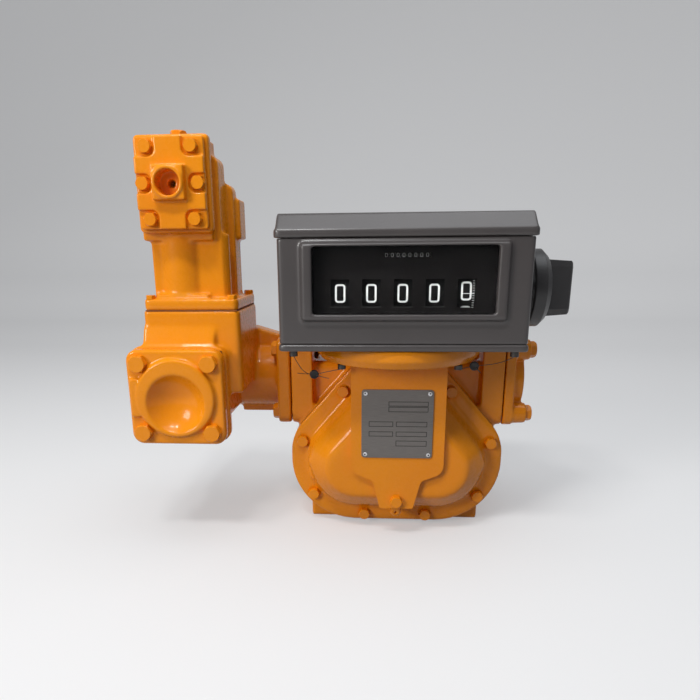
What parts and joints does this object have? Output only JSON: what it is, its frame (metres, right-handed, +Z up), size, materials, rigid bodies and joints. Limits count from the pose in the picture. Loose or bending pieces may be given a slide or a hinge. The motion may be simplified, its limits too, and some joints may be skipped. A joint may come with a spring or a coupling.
{
  "type": "fuel flow meter",
  "caption": "Rotary fuel flow meter with inlet strainer, air eliminator tower, dished front cover and a large-numeral register with a reset knob.",
  "frame": {"origin": "centre of the foot bolt pattern on the base plane", "axes": "+X towards the outlet, +Y to the back, +Z up; the dial and covers face -Y"},
  "size_m": [0.4995, 0.27, 0.469],
  "materials": {
    "orange_casting": "glossy orange enamel over cast metal",
    "orange_bolt": "glossy orange enamel over hexagon bolts",
    "gasket": "thin dark sealing sheet",
    "machined_iron": "turned cast iron",
    "carbon_bush": "plain carbon bearing",
    "brass_gland": "turned brass",
    "nameplate_metal": "dark brushed plate, bare",
    "bright_steel": "bright turned steel",
    "dark_steel": "blackened steel",
    "register_paint": "semi-gloss warm grey enamel",
    "window_glass": "clear flat glass",
    "dial_black": "matt black sheet",
    "frame_steel": "plated sheet steel",
    "basket_steel": "perforated stainless sheet",
    "lead": "dull lead",
    "seal_wire": "fine twisted seal wire",
    "rotor_aluminium": "machined aluminium",
    "gear_steel": "hobbed steel",
    "knob_plastic": "near-black moulded plastic",
    "float_steel": "thin drawn stainless steel",
    "wheel_black": "black number wheel with plain white numerals"
  },
  "bodies": {
    "meter": {"air_eliminator_body": "orange_casting", "air_eliminator_bolts": "orange_bolt", "bearing_plates": "machined_iron", "counter_adapter": "orange_casting", "cover_bolts": "orange_bolt", "dial_plate": "dial_black", "dust_cover": "orange_casting", "flange_bolts": "orange_bolt", "front_cover": "orange_casting", "gaskets": "gasket", "lead_seals": "lead", "left_seal_wire": "seal_wire", "lever_pin": "bright_steel", "meter_housing": "orange_casting", "nameplate": "nameplate_metal", "nameplate_rivets": "bright_steel", "outlet_flange": "orange_casting", "packing_gland": "brass_gland", "rear_cover": "orange_casting", "register_base": "register_paint", "register_case": "register_paint", "register_frame": "frame_steel", "register_lid": "register_paint", "reset_collar": "bright_steel", "right_seal_wire": "seal_wire", "rotor_bearings": "carbon_bush", "sealing_screws": "dark_steel", "strainer_basket": "basket_steel", "strainer_body": "orange_casting", "strainer_cover": "orange_casting", "strainer_cover_bolts": "orange_bolt", "top_plug": "orange_bolt", "vent_cover": "orange_casting", "wheel_shafts": "bright_steel", "window_glass": "window_glass"},
    "blocking_rotor": {"blocking_rotor": "rotor_aluminium", "blocking_gear": "gear_steel", "drive_shaft": "gear_steel"},
    "left_rotor": {"left_displacement_rotor": "rotor_aluminium", "left_timing_gear": "gear_steel"},
    "right_rotor": {"right_displacement_rotor": "rotor_aluminium", "right_timing_gear": "gear_steel"},
    "register_drive": {"register_drive_shaft": "gear_steel"},
    "reset_knob": {"reset_knob": "knob_plastic"},
    "float": {"float": "float_steel"},
    "float_lever": {"float_lever": "bright_steel"},
    "vent_valve": {"vent_valve": "brass_gland"},
    "number_wheel_1": {"number_wheel_1": "wheel_black"},
    "number_wheel_2": {"number_wheel_2": "wheel_black"},
    "number_wheel_3": {"number_wheel_3": "wheel_black"},
    "number_wheel_4": {"number_wheel_4": "wheel_black"},
    "number_wheel_5": {"number_wheel_5": "wheel_black"},
    "totaliser_wheel_1": {"totaliser_wheel_1": "wheel_black"},
    "totaliser_wheel_2": {"totaliser_wheel_2": "wheel_black"},
    "totaliser_wheel_3": {"totaliser_wheel_3": "wheel_black"},
    "totaliser_wheel_4": {"totaliser_wheel_4": "wheel_black"},
    "totaliser_wheel_5": {"totaliser_wheel_5": "wheel_black"},
    "totaliser_wheel_6": {"totaliser_wheel_6": "wheel_black"},
    "totaliser_wheel_7": {"totaliser_wheel_7": "wheel_black"},
    "totaliser_wheel_8": {"totaliser_wheel_8": "wheel_black"}
  },
  "joints": [
    {"name": "left_rotor_spin", "type": "hinge", "parent": "meter", "child": "left_rotor", "pos_m": [-0.056, 0, 0.08], "axis": [0, -1, 0], "continuous": true},
    {"name": "right_rotor_spin", "type": "hinge", "parent": "meter", "child": "right_rotor", "pos_m": [0.056, 0, 0.08], "axis": [0, -1, 0], "continuous": true},
    {"name": "blocking_rotor_spin", "type": "hinge", "parent": "meter", "child": "blocking_rotor", "pos_m": [0, 0, 0.15046], "axis": [0, 1, 0], "continuous": true},
    {"name": "register_drive_spin", "type": "hinge", "parent": "meter", "child": "register_drive", "pos_m": [0, -0.092, 0.19046], "axis": [0, 0, 1], "continuous": true},
    {"name": "reset_knob_turn", "type": "hinge", "parent": "meter", "child": "reset_knob", "pos_m": [0.15, -0.081, 0.3015], "axis": [1, 0, 0], "range_deg": [0, 350]},
    {"name": "float_lever_swing", "type": "hinge", "parent": "meter", "child": "float_lever", "pos_m": [-0.241, -0.084, 0.388], "axis": [-1, 0, 0], "range_deg": [0, 9]},
    {"name": "float_slide", "type": "slide", "parent": "meter", "child": "float", "axis": [0, 0, -1], "range_m": [0, 0.0024]},
    {"name": "vent_valve_slide", "type": "slide", "parent": "meter", "child": "vent_valve", "axis": [0, 1, 0], "range_m": [0, 0.0039]},
    {"name": "number_wheel_1_turn", "type": "hinge", "parent": "meter", "child": "number_wheel_1", "pos_m": [-0.065, -0.107, 0.3005], "axis": [1, 0, 0], "continuous": true},
    {"name": "number_wheel_2_turn", "type": "hinge", "parent": "meter", "child": "number_wheel_2", "pos_m": [-0.0325, -0.107, 0.3005], "axis": [1, 0, 0], "continuous": true},
    {"name": "number_wheel_3_turn", "type": "hinge", "parent": "meter", "child": "number_wheel_3", "pos_m": [0, -0.107, 0.3005], "axis": [1, 0, 0], "continuous": true},
    {"name": "number_wheel_4_turn", "type": "hinge", "parent": "meter", "child": "number_wheel_4", "pos_m": [0.0325, -0.107, 0.3005], "axis": [1, 0, 0], "continuous": true},
    {"name": "number_wheel_5_turn", "type": "hinge", "parent": "meter", "child": "number_wheel_5", "pos_m": [0.065, -0.107, 0.3005], "axis": [1, 0, 0], "continuous": true},
    {"name": "totaliser_wheel_1_turn", "type": "hinge", "parent": "meter", "child": "totaliser_wheel_1", "pos_m": [-0.0175, -0.137, 0.339], "axis": [1, 0, 0], "continuous": true},
    {"name": "totaliser_wheel_2_turn", "type": "hinge", "parent": "meter", "child": "totaliser_wheel_2", "pos_m": [-0.0115, -0.137, 0.339], "axis": [1, 0, 0], "continuous": true},
    {"name": "totaliser_wheel_3_turn", "type": "hinge", "parent": "meter", "child": "totaliser_wheel_3", "pos_m": [-0.0055, -0.137, 0.339], "axis": [1, 0, 0], "continuous": true},
    {"name": "totaliser_wheel_4_turn", "type": "hinge", "parent": "meter", "child": "totaliser_wheel_4", "pos_m": [0.0005, -0.137, 0.339], "axis": [1, 0, 0], "continuous": true},
    {"name": "totaliser_wheel_5_turn", "type": "hinge", "parent": "meter", "child": "totaliser_wheel_5", "pos_m": [0.0065, -0.137, 0.339], "axis": [1, 0, 0], "continuous": true},
    {"name": "totaliser_wheel_6_turn", "type": "hinge", "parent": "meter", "child": "totaliser_wheel_6", "pos_m": [0.0125, -0.137, 0.339], "axis": [1, 0, 0], "continuous": true},
    {"name": "totaliser_wheel_7_turn", "type": "hinge", "parent": "meter", "child": "totaliser_wheel_7", "pos_m": [0.0185, -0.137, 0.339], "axis": [1, 0, 0], "continuous": true},
    {"name": "totaliser_wheel_8_turn", "type": "hinge", "parent": "meter", "child": "totaliser_wheel_8", "pos_m": [0.0245, -0.137, 0.339], "axis": [1, 0, 0], "continuous": true}
  ],
  "couplings": [
    {"joint": "left_rotor_spin", "follows": "blocking_rotor_spin", "ratio": 1},
    {"joint": "right_rotor_spin", "follows": "blocking_rotor_spin", "ratio": 1},
    {"joint": "register_drive_spin", "follows": "blocking_rotor_spin", "ratio": -1},
    {"joint": "vent_valve_slide", "follows": "float_slide", "ratio": 1.59},
    {"joint": "float_lever_swing", "follows": "float_slide", "rad_per_m": 62.5},
    {"joint": "number_wheel_1_turn", "follows": "blocking_rotor_spin", "ratio": 0.0000028},
    {"joint": "number_wheel_2_turn", "follows": "blocking_rotor_spin", "ratio": 0.000028},
    {"joint": "number_wheel_3_turn", "follows": "blocking_rotor_spin", "ratio": 0.00028},
    {"joint": "number_wheel_4_turn", "follows": "blocking_rotor_spin", "ratio": 0.0028},
    {"joint": "number_wheel_5_turn", "follows": "blocking_rotor_spin", "ratio": 0.028},
    {"joint": "totaliser_wheel_1_turn", "follows": "blocking_rotor_spin", "ratio": 0.000000028},
    {"joint": "totaliser_wheel_2_turn", "follows": "blocking_rotor_spin", "ratio": 0.00000028},
    {"joint": "totaliser_wheel_3_turn", "follows": "blocking_rotor_spin", "ratio": 0.0000028},
    {"joint": "totaliser_wheel_4_turn", "follows": "blocking_rotor_spin", "ratio": 0.000028},
    {"joint": "totaliser_wheel_5_turn", "follows": "blocking_rotor_spin", "ratio": 0.00028},
    {"joint": "totaliser_wheel_6_turn", "follows": "blocking_rotor_spin", "ratio": 0.0028},
    {"joint": "totaliser_wheel_7_turn", "follows": "blocking_rotor_spin", "ratio": 0.028},
    {"joint": "totaliser_wheel_8_turn", "follows": "blocking_rotor_spin", "ratio": 0.28}
  ]
}
